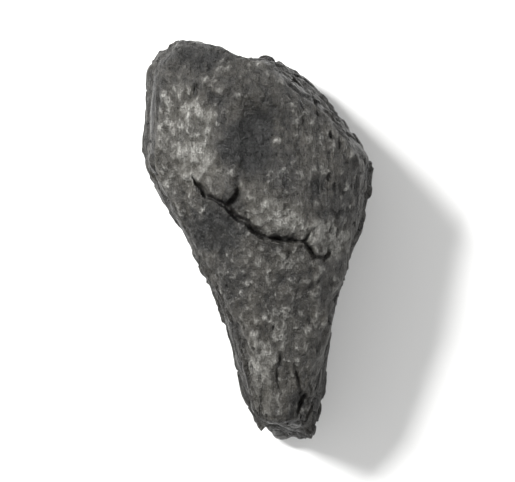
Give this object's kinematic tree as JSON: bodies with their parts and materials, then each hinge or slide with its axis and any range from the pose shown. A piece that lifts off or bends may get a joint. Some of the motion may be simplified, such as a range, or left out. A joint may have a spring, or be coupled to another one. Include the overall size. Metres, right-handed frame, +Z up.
{
  "type": "charcoal lump",
  "caption": "Irregular lump of wood charcoal with a broad head and a narrower tail, broken faces, growth-ring ridges, a shrinkage crack across its upper face and checks along the grain.",
  "frame": {"origin": "on the surface that the lump lies on, below the middle of its outline", "axes": "+Z up, +Y along the grain and the length, from the narrow tail to the broad head, +X to the right seen from above"},
  "size_m": [0.0378, 0.0654, 0.0275],
  "materials": {
    "charcoal": "charred to charcoal: near-black, dull satin, with fine grain"
  },
  "bodies": {
    "root": {"charcoal_lump": "charcoal"}
  },
  "joints": []
}
